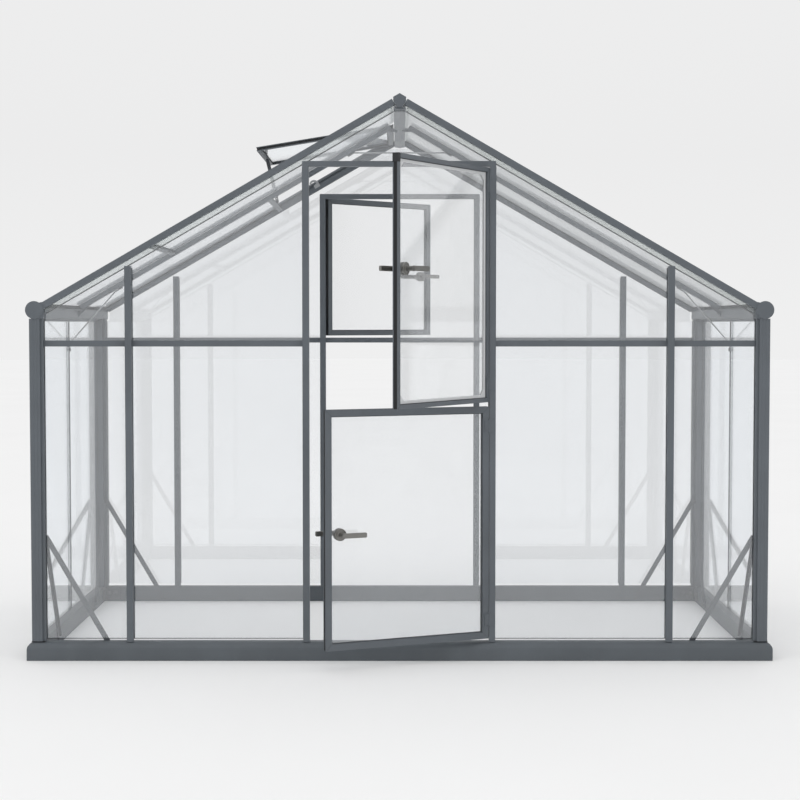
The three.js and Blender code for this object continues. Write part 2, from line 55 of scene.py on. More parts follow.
# ---------------------------------------------------------------- world and floor
world = bpy.data.worlds.new("studio")
scene.world = world
world.use_nodes = True
wnt = world.node_tree
bg = wnt.nodes["Background"]
wtc = wnt.nodes.new("ShaderNodeTexCoord")
wsep = wnt.nodes.new("ShaderNodeSeparateXYZ")
wnt.links.new(wtc.outputs["Generated"], wsep.inputs[0])
wramp = wnt.nodes.new("ShaderNodeValToRGB")
wramp.color_ramp.elements[0].position = 0.0
wramp.color_ramp.elements[0].color = (0.865, 0.865, 0.866, 1.0)
wramp.color_ramp.elements[1].position = 1.0
wramp.color_ramp.elements[1].color = (1.0, 1.0, 1.0, 1.0)
e = wramp.color_ramp.elements.new(0.10)
e.color = (0.838, 0.838, 0.840, 1.0)
e = wramp.color_ramp.elements.new(0.30)
e.color = (0.86, 0.86, 0.862, 1.0)
wnt.links.new(wsep.outputs["Z"], wramp.inputs["Fac"])
wnt.links.new(wramp.outputs["Color"], bg.inputs["Color"])
bg.inputs["Strength"].default_value = 1.0


def new_mat(name):
    m = bpy.data.materials.new(name)
    m.use_nodes = True
    nt = m.node_tree
    return m, nt, nt.nodes["Principled BSDF"], nt.nodes["Material Output"]


def ramp(nt, fac, stops):
    r = nt.nodes.new("ShaderNodeValToRGB")
    while len(r.color_ramp.elements) > 1:
        r.color_ramp.elements.remove(r.color_ramp.elements[-1])
    r.color_ramp.elements[0].position = stops[0][0]
    r.color_ramp.elements[0].color = (*stops[0][1], 1.0)
    for pos, col in stops[1:]:
        e = r.color_ramp.elements.new(pos)
        e.color = (*col, 1.0)
    nt.links.new(fac, r.inputs["Fac"])
    return r.outputs["Color"]


def noise(nt, scale, detail=3.0, rough=0.5, stretch=(1, 1, 1)):
    tc = nt.nodes.new("ShaderNodeTexCoord")
    mp = nt.nodes.new("ShaderNodeMapping")
    mp.inputs["Scale"].default_value = stretch
    nt.links.new(tc.outputs["Object"], mp.inputs["Vector"])
    n = nt.nodes.new("ShaderNodeTexNoise")
    n.inputs["Scale"].default_value = scale
    n.inputs["Detail"].default_value = detail
    n.inputs["Roughness"].default_value = rough
    nt.links.new(mp.outputs["Vector"], n.inputs["Vector"])
    return n.outputs["Fac"]


def bump(nt, height, strength, distance, into):
    b = nt.nodes.new("ShaderNodeBump")
    b.inputs["Strength"].default_value = strength
    b.inputs["Distance"].default_value = distance
    nt.links.new(height, b.inputs["Height"])
    nt.links.new(b.outputs["Normal"], into)
    return b


def grey(v):
    return (v, v, v)


def powder_coat(name, base, spread=0.10, rough=(0.42, 0.58), grain=0.25):
    """Satin powder coat: slow tone drift, fine orange-peel grain, a few paler scuffs."""
    m, nt, bsdf, _ = new_mat(name)
    slow = noise(nt, 3.2, 4.0, 0.55)
    lo = tuple(c * (1 - spread) for c in base)
    hi = tuple(c * (1 + spread) for c in base)
    tone = ramp(nt, slow, [(0.32, lo), (0.68, hi)])
    speck = noise(nt, 620.0, 2.0, 0.6)
    fine = ramp(nt, speck, [(0.30, grey(0.90)), (0.72, grey(1.10))])
    mul = nt.nodes.new("ShaderNodeMix")
    mul.data_type = "RGBA"
    mul.blend_type = "MULTIPLY"
    mul.inputs["Factor"].default_value = 1.0
    nt.links.new(tone, mul.inputs[6])
    nt.links.new(fine, mul.inputs[7])
    # paler dust in long vertical and horizontal drifts
    dust = noise(nt, 7.0, 5.0, 0.62, (1.0, 1.0, 0.18))
    dmask = ramp(nt, dust, [(0.56, grey(0.0)), (0.80, grey(0.16))])
    mix = nt.nodes.new("ShaderNodeMix")
    mix.data_type = "RGBA"
    nt.links.new(dmask, mix.inputs["Factor"])
    nt.links.new(mul.outputs[2], mix.inputs[6])
    mix.inputs[7].default_value = (base[0] * 1.9, base[1] * 1.85, base[2] * 1.8, 1.0)
    nt.links.new(mix.outputs[2], bsdf.inputs["Base Color"])
    rr = ramp(nt, slow, [(0.3, grey(rough[0])), (0.7, grey(rough[1]))])
    nt.links.new(rr, bsdf.inputs["Roughness"])
    peel = noise(nt, 900.0, 2.0, 0.5)
    bump(nt, peel, grain, 0.00025, bsdf.inputs["Normal"])
    bsdf.inputs["Metallic"].default_value = 0.0
    bsdf.inputs["IOR"].default_value = 1.47
    return m


def metal(name, base, rough=(0.28, 0.45), stretch=(1, 1, 30), scale=60.0, metallic=0.9):
    """Brushed or drawn metal: long fine lines in tone and roughness."""
    m, nt, bsdf, _ = new_mat(name)
    lines = noise(nt, scale, 4.0, 0.6, stretch)
    lo = tuple(c * 0.82 for c in base)
    hi = tuple(min(1.0, c * 1.18) for c in base)
    nt.links.new(ramp(nt, lines, [(0.3, lo), (0.7, hi)]), bsdf.inputs["Base Color"])
    nt.links.new(ramp(nt, lines, [(0.3, grey(rough[0])), (0.7, grey(rough[1]))]), bsdf.inputs["Roughness"])
    bump(nt, lines, 0.18, 0.0002, bsdf.inputs["Normal"])
    bsdf.inputs["Metallic"].default_value = metallic
    return m


def rubber(name, base, scale=240.0):
    m, nt, bsdf, _ = new_mat(name)
    n = noise(nt, scale, 3.0, 0.6)
    lo = tuple(c * 0.75 for c in base)
    hi = tuple(c * 1.5 for c in base)
    nt.links.new(ramp(nt, n, [(0.35, lo), (0.7, hi)]), bsdf.inputs["Base Color"])
    nt.links.new(ramp(nt, n, [(0.3, grey(0.62)), (0.7, grey(0.78))]), bsdf.inputs["Roughness"])
    bump(nt, n, 0.3, 0.0003, bsdf.inputs["Normal"])
    return m


def soft_plastic(name, base, rough=(0.5, 0.62)):
    """Extruded plastic strip: almost even tone, faint long draw lines, a few dull patches."""
    m, nt, bsdf, _ = new_mat(name)
    lines = noise(nt, 30.0, 3.0, 0.5, (1.0, 1.0, 0.2))
    lo = tuple(c * 0.955 for c in base)
    hi = tuple(min(1.0, c * 1.045) for c in base)
    nt.links.new(ramp(nt, lines, [(0.3, lo), (0.7, hi)]), bsdf.inputs["Base Color"])
    nt.links.new(ramp(nt, lines, [(0.3, grey(rough[0])), (0.7, grey(rough[1]))]), bsdf.inputs["Roughness"])
    bump(nt, lines, 0.12, 0.0002, bsdf.inputs["Normal"])
    return m


def glass(name, tint, f0=0.107, film=0.012):
    """Clear pane: see-through with a mirror share that rises at grazing angles,
    and a faint uneven dust film."""
    m, nt, bsdf, out = new_mat(name)
    nt.nodes.remove(bsdf)
    clear = nt.nodes.new("ShaderNodeBsdfTransparent")
    clear.inputs["Color"].default_value = (*tint, 1.0)
    mirror = nt.nodes.new("ShaderNodeBsdfGlossy")
    mirror.inputs["Roughness"].default_value = 0.0
    mirror.inputs["Color"].default_value = (0.97, 0.985, 1.0, 1.0)
    lw = nt.nodes.new("ShaderNodeLayerWeight")
    lw.inputs["Blend"].default_value = 0.5
    p = nt.nodes.new("ShaderNodeMath")
    p.operation = "POWER"
    p.inputs[1].default_value = 5.0
    nt.links.new(lw.outputs["Facing"], p.inputs[0])
    f = nt.nodes.new("ShaderNodeMath")
    f.operation = "MULTIPLY_ADD"
    f.inputs[1].default_value = 1.0 - f0
    f.inputs[2].default_value = f0
    nt.links.new(p.outputs[0], f.inputs[0])
    a = nt.nodes.new("ShaderNodeMixShader")
    nt.links.new(f.outputs[0], a.inputs[0])
    nt.links.new(clear.outputs[0], a.inputs[1])
    nt.links.new(mirror.outputs[0], a.inputs[2])
    dust = nt.nodes.new("ShaderNodeBsdfDiffuse")
    dust.inputs["Color"].default_value = (0.85, 0.86, 0.87, 1.0)
    n = noise(nt, 2.2, 5.0, 0.62)
    r = ramp(nt, n, [(0.35, grey(film * 0.3)), (0.75, grey(film * 1.6))])
    b = nt.nodes.new("ShaderNodeMixShader")
    nt.links.new(r, b.inputs[0])
    nt.links.new(a.outputs[0], b.inputs[1])
    nt.links.new(dust.outputs[0], b.inputs[2])
    nt.links.new(b.outputs[0], out.inputs["Surface"])
    return m


def hazy_glass(name, tint, f0, rough, film, dust_tone=(0.85, 0.86, 0.87), edge=0.7):
    """Weathered pane: the mirror share is spread wide and an uneven film lies over it."""
    m, nt, bsdf, out = new_mat(name)
    nt.nodes.remove(bsdf)
    clear = nt.nodes.new("ShaderNodeBsdfTransparent")
    clear.inputs["Color"].default_value = (*tint, 1.0)
    mirror = nt.nodes.new("ShaderNodeBsdfGlossy")
    mirror.inputs["Roughness"].default_value = rough
    mirror.inputs["Color"].default_value = (0.97, 0.985, 1.0, 1.0)
    lw = nt.nodes.new("ShaderNodeLayerWeight")
    lw.inputs["Blend"].default_value = 0.5
    p = nt.nodes.new("ShaderNodeMath")
    p.operation = "POWER"
    p.inputs[1].default_value = 4.0
    nt.links.new(lw.outputs["Facing"], p.inputs[0])
    f = nt.nodes.new("ShaderNodeMath")
    f.operation = "MULTIPLY_ADD"
    f.inputs[1].default_value = edge
    f.inputs[2].default_value = f0
    nt.links.new(p.outputs[0], f.inputs[0])
    a = nt.nodes.new("ShaderNodeMixShader")
    nt.links.new(f.outputs[0], a.inputs[0])
    nt.links.new(clear.outputs[0], a.inputs[1])
    nt.links.new(mirror.outputs[0], a.inputs[2])
    dust = nt.nodes.new("ShaderNodeBsdfDiffuse")
    dust.inputs["Color"].default_value = (*dust_tone, 1.0)
    trans = nt.nodes.new("ShaderNodeBsdfTranslucent")
    trans.inputs["Color"].default_value = (*dust_tone, 1.0)
    both = nt.nodes.new("ShaderNodeMixShader")
    both.inputs[0].default_value = 0.5
    nt.links.new(dust.outputs[0], both.inputs[1])
    nt.links.new(trans.outputs[0], both.inputs[2])
    n = noise(nt, 1.7, 5.0, 0.6)
    r = ramp(nt, n, [(0.35, grey(film * 0.7)), (0.7, grey(film * 1.25))])
    b = nt.nodes.new("ShaderNodeMixShader")
    nt.links.new(r, b.inputs[0])
    nt.links.new(a.outputs[0], b.inputs[1])
    nt.links.new(both.outputs[0], b.inputs[2])
    nt.links.new(b.outputs[0], out.inputs["Surface"])
    return m


M = {
    "frame": powder_coat("frame_powder_coat", (0.110, 0.125, 0.141)),
    "base": powder_coat("base_powder_coat", (0.098, 0.112, 0.125), 0.12),
    "leaf": powder_coat("leaf_powder_coat", (0.106, 0.120, 0.135)),
    "brace": powder_coat("brace_powder_coat", (0.098, 0.107, 0.120)),
    "tie": metal("drawn_aluminium", (0.36, 0.37, 0.38), (0.35, 0.5), (30, 1, 30), 12.0, 0.85),
    "lever": metal("satin_nickel", (0.222, 0.218, 0.208), (0.26, 0.40), (1, 1, 24), 70.0, 0.92),
    "bolt": metal("zinc_bolt", (0.17, 0.178, 0.188), (0.38, 0.52), (1, 1, 1), 300.0, 0.6),
    "seal": rubber("grey_seal", (0.060, 0.066, 0.072)),
    "closure": hazy_glass("closure_strip", (0.920, 0.935, 0.930), 0.06, 0.30, 0.10, (0.90, 0.92, 0.905), edge=0.30),
    "line": soft_plastic("grey_channel", (0.235, 0.240, 0.245)),
    "stay": powder_coat("stay_powder_coat", (0.050, 0.055, 0.062)),
    "bead": soft_plastic("pale_bead", (0.60, 0.61, 0.62)),
    "rubber": rubber("black_gasket", (0.016, 0.017, 0.019)),
    "edge": rubber("pane_edge", (0.10, 0.115, 0.12), 90.0),
    "glass": glass("clear_pane", (0.976, 0.980, 0.984)),
    "leaf_glass": hazy_glass("leaf_pane", (0.972, 0.978, 0.984), 0.085, 0.0, 0.088),
    "upper_glass": hazy_glass("upper_leaf_pane", (0.980, 0.985, 0.989), 0.080, 0.06, 0.135, (0.98, 0.98, 0.98), edge=0.5),
    "window_glass": hazy_glass("window_pane", (0.982, 0.985, 0.988), 0.060, 0.22, 0.030),
    "roof_glass": hazy_glass("roof_pane_left", (0.962, 0.968, 0.972), 0.05, 0.30, 0.12, edge=0.22),
    "roof_haze": hazy_glass("roof_pane_right", (0.975, 0.980, 0.980), 0.03, 0.45, 0.44, (0.66, 0.67, 0.67), edge=0.06),
    "vent_glass": glass("vent_pane", (0.974, 0.979, 0.983), 0.105, 0.012),
}

fl, fnt, fb, _ = new_mat("floor_pale")
fn = noise(fnt, 0.7, 3.0, 0.5)
fnt.links.new(ramp(fnt, fn, [(0.3, (0.940, 0.940, 0.940)), (0.7, (0.956, 0.956, 0.956))]), fb.inputs["Base Color"])
fb.inputs["Roughness"].default_value = 0.9
fb.inputs["Specular IOR Level"].default_value = 0.0
bm = bmesh.new()
bmesh.ops.create_circle(bm, cap_ends=True, segments=96, radius=60.0)
me = bpy.data.meshes.new("floor")
bm.to_mesh(me)
bm.free()
floor = bpy.data.objects.new("floor", me)
floor.location = (0, 0.8, -0.0004)
floor.data.materials.append(fl)
scene.collection.objects.link(floor)

# ---------------------------------------------------------------- lights
def area(name, loc, target, size, power):
    d = bpy.data.lights.new(name, "AREA")
    d.energy = power
    d.size = size
    o = bpy.data.objects.new(name, d)
    o.location = loc
    o.rotation_euler = (Vector(target) - Vector(loc)).to_track_quat("-Z", "Y").to_euler()
    scene.collection.objects.link(o)
    return o


area("soft_top", (-1.5, -2.5, 7.0), (0, 0.8, 0), 6.0, 35.0)

# ---------------------------------------------------------------- CAD nodes
SLOT_MAT = {
    "base_paint": "base", "frame_paint": "frame", "leaf_paint": "leaf", "brace_paint": "brace",
    "tie_metal": "tie", "clear_glass": "glass", "leaf_glass": "leaf_glass", "lever_metal": "lever",
}
slots = {s["node"]: s["material_slot"] for s in frame["record"]["subparts"]}
for node, obj in frame["nodes"].items():
    key = SLOT_MAT[slots[node]]
    if node == "vent_glass":
        key = "vent_glass"
    elif node == "upper_door_glass":
        key = "upper_glass"
    elif node == "rear_window_glass":
        key = "window_glass"
    elif node == "pane_roof_right":
        key = "roof_haze"
    elif node.startswith("pane_roof"):
        key = "roof_glass"
    elif node == "vent_stay":
        key = "stay"
    obj.data.materials.clear()
    obj.data.materials.append(M[key])
    if "glass" not in key and key != "roof_haze":
        bv = obj.modifiers.new("edge", "BEVEL")
        bv.width = 0.0012 if key != "tie" else 0.0004
        bv.segments = 2
        bv.limit_method = "ANGLE"
        bv.angle_limit = math.radians(40)
        bv.harden_normals = False


# ---------------------------------------------------------------- helpers for added pieces (millimetres)
MM = 0.001


def vec(x, y, z):
    return Vector((x, y, z))


def sweep(bm, profile, p0, p1, up):
    """Closed prism between two points; profile is (across, along up)."""
    d = (p1 - p0).normalized()
    up = (up - d * up.dot(d)).normalized()
    side = d.cross(up)
    rings = [[bm.verts.new((p + side * a + up * b) * MM) for a, b in profile] for p in (p0, p1)]
    n = len(profile)
    for i in range(n):
        j = (i + 1) % n
        bm.faces.new((rings[0][i], rings[0][j], rings[1][j], rings[1][i]))
    bm.faces.new(rings[0][::-1])
    bm.faces.new(rings[1])


def loop(bm, x0, z0, x1, z1, profile, flat=False):
    """Mitred closed frame; profile is (inset, depth). Depth runs along y, or z when flat."""
    corners = [(x0, z0, 1, 1), (x1, z0, -1, 1), (x1, z1, -1, -1), (x0, z1, 1, -1)]
    rings = []
    for x, z, sx, sz in corners:
        ring = []
        for a, b in profile:
            u, v = x + sx * a, z + sz * a
            ring.append(bm.verts.new(((u, v, b) if flat else (u, b, v))))
        rings.append(ring)
    for v in [v for r in rings for v in r]:
        v.co *= MM
    n = len(profile)
    for k in range(4):
        r, q = rings[k], rings[(k + 1) % 4]
        for i in range(n):
            j = (i + 1) % n
            bm.faces.new((r[i], r[j], q[j], q[i]))


def turned(bm, p, axis, profile, sides=20, phase=0.0):
    """Closed turned body; profile is (radius, height along axis)."""
    axis = axis.normalized()
    u = axis.orthogonal().normalized()
    w = axis.cross(u)
    rings = []
    for r, h in profile:
        ring = []
        for k in range(sides):
            t = 2 * math.pi * k / sides + phase
            ring.append(bm.verts.new((p + axis * h + u * (r * math.cos(t)) + w * (r * math.sin(t))) * MM))
        rings.append(ring)
    for r, q in zip(rings, rings[1:]):
        for k in range(sides):
            j = (k + 1) % sides
            bm.faces.new((r[k], r[j], q[j], q[k]))
    bm.faces.new(rings[0][::-1])
    bm.faces.new(rings[-1])


def bolt(bm, p, n, r=4.6):
    """Washer and chamfered hexagon head standing on a face."""
    turned(bm, p, n, [(r * 1.75, -0.3), (r * 1.75, r * 0.22), (r * 1.62, r * 0.32)], 24)
    turned(bm, p, n, [(r * 1.12, 0.0), (r * 1.15, r * 0.8), (r * 0.98, r * 1.02), (r * 0.55, r * 1.06)], 6, r)


def plate(bm, outline, y0, y1, axis="Y"):
    """Flat plate from an outline in (x, z) between two depths."""
    rings = []
    for d in (y0, y1):
        rings.append([bm.verts.new(Vector((a, d, b) if axis == "Y" else (d, a, b)) * MM) for a, b in outline])
    n = len(outline)
    for i in range(n):
        j = (i + 1) % n
        bm.faces.new((rings[0][i], rings[0][j], rings[1][j], rings[1][i]))
    bm.faces.new(rings[0][::-1])
    bm.faces.new(rings[1])


def piece(name, bm, mat, body="frame", matrix=None, bevel=0.0, smooth=False):
    bmesh.ops.recalc_face_normals(bm, faces=bm.faces[:])
    me = bpy.data.meshes.new(name)
    bm.to_mesh(me)
    bm.free()
    me.materials.append(M[mat])
    if smooth:
        for poly in me.polygons:
            poly.use_smooth = True
    o = bpy.data.objects.new(name, me)
    scene.collection.objects.link(o)
    if matrix is not None:
        o.matrix_world = matrix
    if bevel:
        bv = o.modifiers.new("edge", "BEVEL")
        bv.width = bevel * MM
        bv.segments = 2
        bv.limit_method = "ANGLE"
        bv.angle_limit = math.radians(35)
    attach(o, body)
    return o


def ribbed(w, h):
    """Glazing gasket section: two soft lips with a groove between them."""
    return [(-w / 2, 0), (-w / 2, h * 0.6), (-w * 0.36, h * 0.95), (-w * 0.2, h), (-w * 0.08, h * 0.62),
            (w * 0.08, h * 0.62), (w * 0.2, h), (w * 0.36, h * 0.95), (w / 2, h * 0.6), (w / 2, 0)]


def capped(w, h):
    """Pressed glazing cap section: sloped shoulders, shallow middle groove."""
    return [(-w / 2, 0), (-w / 2, h * 0.45), (-w / 2 + h * 0.55, h), (-w * 0.09, h), (-w * 0.06, h * 0.8),
            (w * 0.06, h * 0.8), (w * 0.09, h), (w / 2 - h * 0.55, h), (w / 2, h * 0.45), (w / 2, 0)]


COS30, SIN30 = math.cos(math.radians(30)), math.sin(math.radians(30))
APEX, DEPTH, HALF = 2335.2, 1520.0, 1529.0
POST_IN, GABLE_TOP = 1471.0, 2281.2
SIDE_IN, SIDE_OUT = 1514.0, 1518.0
JL, JR = (-400.5, -374.0), (371.5, 396.0)


def slope_pt(side, s, y, h):
    return vec(side * (s * COS30 + h * SIN30), y, APEX - s * SIN30 + h * COS30)


def gable_z(x):
    return GABLE_TOP - 0.57735 * abs(x)


Y, Z, X = vec(0, 1, 0), vec(0, 0, 1), vec(1, 0, 0)

# ---- glazing gaskets of the fixed panes, fine lines along every pane edge
bm = bmesh.new()
for s in (-1, 1):
    # front panes: against the post, the jamb and the base
    sweep(bm, ribbed(2.4, 1.8), vec(s * (POST_IN - 1.0), 30, 86), vec(s * (POST_IN - 1.0), 30, 1411), -Y)
    sweep(bm, ribbed(2.4, 1.8), vec(s * (POST_IN - 1.0), 34, 86), vec(s * (POST_IN - 1.0), 34, 1411), Y)
    xj = (JL[0] - 1.2) if s < 0 else (JR[1] + 1.2)
    sweep(bm, ribbed(2.4, 1.8), vec(xj, 30, 86), vec(xj, 30, 2040), -Y)
    sweep(bm, ribbed(2.4, 1.8), vec(xj, 34, 86), vec(xj, 34, 2040), Y)
    a, b = sorted((xj, s * POST_IN))
    sweep(bm, ribbed(2.8, 2.0), vec(a, 30, 85.4), vec(b, 30, 85.4), -Y)
    # rear panes
    sweep(bm, ribbed(2.4, 1.8), vec(s * (POST_IN - 1.4), 1512, 86), vec(s * (POST_IN - 1.4), 1512, 1411), -Y)
    # side panes: posts, base and the middle bar
    for y in (59.2, 1460.8):
        sweep(bm, ribbed(2.4, 1.8), vec(s * SIDE_IN, y, 86), vec(s * SIDE_IN, y, 1410), -s * X)
    sweep(bm, ribbed(2.8, 2.0), vec(s * SIDE_IN, 62, 85.4), vec(s * SIDE_IN, 1458, 85.4), -s * X)
    sweep(bm, ribbed(9, 3.2), vec(s * SIDE_IN, 760, 86), vec(s * SIDE_IN, 760, 1408), -s * X)
piece("pane_gaskets", bm, "seal")

# ---- black foot plates under the corner posts; their slightly protruding black edge is a painted shadow line on the base rail
bm = bmesh.new()
for s in (-1, 1):
    for y0, y1 in ((0.5, 41), (1479, 1519.5)):
        a, b = sorted((s * 1472, s * 1528.5))
        plate(bm, [(a, 75.5), (b, 75.5), (b, 78.4), (a, 78.4)], y0 - 0.9 if y0 < 700 else y0, y1 if y0 < 700 else y1 + 0.9)
# black plates: real foot plates, and also a painted shadow line where each post meets the base rail
piece("post_foot_plates_painted_shadow_line", bm, "rubber", bevel=0.3)

# ---- closing strips under both gutters
bm = bmesh.new()
for s in (-1, 1):
    plate(bm, [(s * 1510.6, 1406), (s * 1510.6, 1418.6), (s * 1513.4, 1418.6), (s * 1513.4, 1406)], 60, 1460)
    for y0, y1 in ((60, 745), (775, 1460)):
        plate(bm, [(s * 1518.6, 1407), (s * 1518.6, 1420.6), (s * 1521.2, 1421.4), (s * 1521.2, 1407)], y0, y1)
piece("eaves_closing_strips", bm, "frame", bevel=0.3)

# ---- gaskets between the gable bars and the panes, and pressed caps on the other face
bm = bmesh.new()
cb = bmesh.new()
for s in (-1, 1):
    for lo, hi in ((84, 1301), (1328, 1629)):
        for dx in (-9.5, 9.5):
            sweep(bm, ribbed(5, 7.4), vec(s * 1120 + dx, 22.2, lo), vec(s * 1120 + dx, 22.2, hi), Y)
            sweep(bm, ribbed(5, 7.6), vec(s * 1120 + dx, 1504.2, lo), vec(s * 1120 + dx, 1504.2, hi), Y)
    sweep(cb, capped(30, 3.6), vec(s * 1120, 34.2, 86), vec(s * 1120, 34.2, 1626), Y)
    sweep(cb, capped(30, 3.6), vec(s * 1120, 1516.2, 86), vec(s * 1120, 1516.2, 1626), Y)
    sweep(cb, capped(30, 3.6), vec(s * 386, 1516.2, 86), vec(s * 386, 1516.2, 2040), Y)
    sweep(bm, ribbed(5, 7.6), vec(s * 391, 1504.2, 84), vec(s * 391, 1504.2, 1301), Y)
    sweep(bm, ribbed(5, 7.6), vec(s * 391, 1504.2, 1328), vec(s * 391, 1504.2, 2036), Y)
piece("bar_gaskets", bm, "rubber")
piece("bar_caps", cb, "frame", bevel=0.4)

# ---- sloping top edges of the front gable panes: a thin channel on the pane edge
# and a pale closing strip between it and the rafter
bm = bmesh.new()
pb = bmesh.new()
for s in (-1, 1):
    far, near = 1461.0, 25.0
    for y, lo, hi, target in ((32.0, 3.8, 25.5, pb),):
        p0, p1 = vec(s * far, y, gable_z(far)), vec(s * near, y, gable_z(near))
        d = (p1 - p0).normalized()
        up = Z - d * Z.dot(d)
        prof = [(-1.1, lo), (-1.1, hi), (-0.3, hi + 0.5), (1.1, hi), (1.1, lo + 0.6), (0.2, lo)]
        sweep(target, prof, p0, p1, up)
    p0, p1 = vec(s * far, 30, gable_z(far)), vec(s * near, 30, gable_z(near))
    d = (p1 - p0).normalized()
    up = Z - d * Z.dot(d)
    prof = [(-1.6, -1.0), (-1.6, 3.4), (5.6, 3.4), (5.6, -1.0), (4.4, -1.0), (4.4, 0.6), (-0.4, 0.6), (-0.4, -1.0)]
    prof = prof if d.cross(up).y > 0 else [(-a, b) for a, b in prof][::-1]
    sweep(bm, prof, p0, p1, up)
piece("gable_edge_channels", bm, "line", bevel=0.3)
piece("gable_closing_strips", pb, "closure")

# ---- flashing beside the ridge over the top edges of the roof panes
bm = bmesh.new()
for s in (-1, 1):
    nrm = vec(s * SIN30, 0, COS30)
    y1 = 776.0 if s < 0 else 1499.0
    sweep(bm, [(-9, 0), (-9, 1.6), (-6, 2.4), (6, 2.4), (9, 0.8), (9, 0)],
          slope_pt(s, 38.5, 21.0, -4.6), slope_pt(s, 38.5, y1, -4.6), nrm)
piece("ridge_flashing", bm, "closure", bevel=0.3)

# ---- roof: caps over the middle rafters, edge gaskets, brackets
bm = bmesh.new()
gb = bmesh.new()
for s in (-1, 1):
    nrm = vec(s * SIN30, 0, COS30)
    sweep(bm, capped(26, 12.5), slope_pt(s, 62, 760, -4.8), slope_pt(s, 1700, 760, -4.8), nrm)
    sweep(bm, capped(26, 12.0), slope_pt(s, 48, 1505.5, -0.3), slope_pt(s, 1698, 1505.5, -0.3), nrm)
    for y in (23.5, 1496.5):
        lo = 700 if s < 0 and y > 760 else 49
        sweep(gb, ribbed(5, 2.2), slope_pt(s, lo, y, -5), slope_pt(s, 1703, y, -5), nrm)
    for y, lo in ((32.5, 49), (1487.5, 718 if s < 0 else 49)):
        sweep(gb, ribbed(4, 1.8), slope_pt(s, lo, y, -9.1), slope_pt(s, 1690, y, -9.1), -nrm)
    sweep(gb, ribbed(9, 2.4), slope_pt(s, 1703, 22, -9.2), slope_pt(s, 1703, 1498, -9.2), -nrm)
piece("roof_caps", bm, "frame", bevel=0.4)
piece("roof_gaskets", gb, "rubber")

# ---- eaves connectors that tie post, gutter and rafter foot together
bm = bmesh.new()
bb = bmesh.new()
for s in (-1, 1):
    for y0, y1, n in ((-1.6, 12.0, -1), (1508.0, 1521.6, 1)):
        out = [(1467, 1417.6), (1467, 1455), (1461.5, 1463.5), (1472.5, 1485.5), (1481, 1484.5), (1494, 1474), (1502, 1452), (1500, 1417.6)]
        out = [(s * a, b) for a, b in out]
        plate(bm, out if s > 0 else out[::-1], y0, y1)
    # web brackets under the gutter at the side bar
    for y in (760,):
        plate(bm, [(s * 1524.6, 1402), (s * 1524.6, 1424), (s * 1529.5, 1427.4), (s * 1527.4, 1402)], y - 11, y + 11)
piece("eaves_connectors", bm, "frame", bevel=1.0)

# ---- rafter heads: plates under the ridge, and feet brackets of the middle rafters
bm = bmesh.new()
for s in (-1, 1):
    for y in (760,):
        a = [(s * 10, 2283), (s * 24, 2284), slope_pt(s, 92, 0, -11), slope_pt(s, 92, 0, -24), (s * 13, 2268)]
        a = [(p[0], p[2]) if isinstance(p, Vector) else p for p in a]
        plate(bm, a, y - 2, y + 2)
    plate(bm, [(s * 1471.4, 1424), (s * 1471.4, 1452), (slope_pt(s, 1640, 0, -31.4).x, slope_pt(s, 1640, 0, -31.4).z),
               (slope_pt(s, 1668, 0, -31.4).x, slope_pt(s, 1668, 0, -31.4).z - 4)], 757.5, 762.5)
piece("rafter_brackets", bm, "frame", bevel=0.6)

# ---- knee rod and collar fixings
bm = bmesh.new()
hb = bmesh.new()
for s in (-1, 1):
    plate(hb, [(s * 1513.8, 1268), (s * 1513.8, 1314), (s * 1511.2, 1314), (s * 1511.2, 1290), (s * 1505.6, 1284),
               (s * 1505.6, 1272), (s * 1511.2, 1268)], 752, 768)
    bolt(bm, vec(s * 1511.2, 760, 1307), -s * X, 3.6)
    a = slope_pt(s, 1262 / COS30 - 12, 760, -31.1)
    sweep(hb, [(-7, 0), (-7, 3), (7, 3), (7, 0)], a, slope_pt(s, 1262 / COS30 + 44, 760, -31.1), -vec(s * SIN30, 0, COS30))
    bolt(bm, slope_pt(s, 1262 / COS30 - 4, 760, -34.1), -vec(s * SIN30, 0, COS30), 3.6)
    sc = 235 / COS30
    sweep(hb, [(-7, 0), (-7, 3), (7, 3), (7, 0)], slope_pt(s, sc - 32, 760, -31.1), slope_pt(s, sc + 22, 760, -31.1), -vec(s * SIN30, 0, COS30))
    bolt(bm, slope_pt(s, sc + 14, 760, -34.1), -vec(s * SIN30, 0, COS30), 3.6)
piece("tie_brackets", hb, "brace", bevel=0.5)

# ---- brace bolts, base corner brackets, connector bolts
run = 0.58 * 491.0
for s in (-1, 1):
    for back in (False, True):
        fy = (lambda v: DEPTH - v) if back else (lambda v: v)
        n = vec(0, -1 if back else 1, 0)
        for x, z in ((1472, 505), (1472 - run, 14)):
            bolt(bm, vec(s * x, fy(46.3), z), n, 4.2)
        for y, z in ((57, 505), (57 + run, 14)):
            bolt(bm, vec(s * 1482.7, fy(y), z), -s * X, 4.2)
        for x in (1430, 1462):
            bolt(bm, vec(s * x, fy(46.2), 44), n, 4.6)
        for y in (72, 104):
            bolt(bm, vec(s * 1483.3, fy(y), 44), -s * X, 4.6)

corner = bmesh.new()
for s in (-1, 1):
    for back in (False, True):
        fy = (lambda v: DEPTH - v) if back else (lambda v: v)
        a, b = sorted((fy(43.3), fy(46.2)))
        plate(corner, [(s * 1412, 20), (s * 1412, 62), (s * 1416, 67), (s * 1486, 67), (s * 1486, 20)], a, b)
        a, b = sorted((s * 1483.4, s * 1486.2))
        plate(corner, [(fy(46.2), 20), (fy(46.2), 67), (fy(118), 67), (fy(122), 62), (fy(122), 20)], a, b, axis="X")
piece("base_corner_brackets", corner, "brace", bevel=0.5)
# screws that hold the mid rails and bars to the base
for s in (-1, 1):
    for z in (1314.5,):
        bolt(bm, vec(s * 1120, 38.0, z), Y, 3.0)
piece("frame_bolts", bm, "bolt", bevel=0.15)

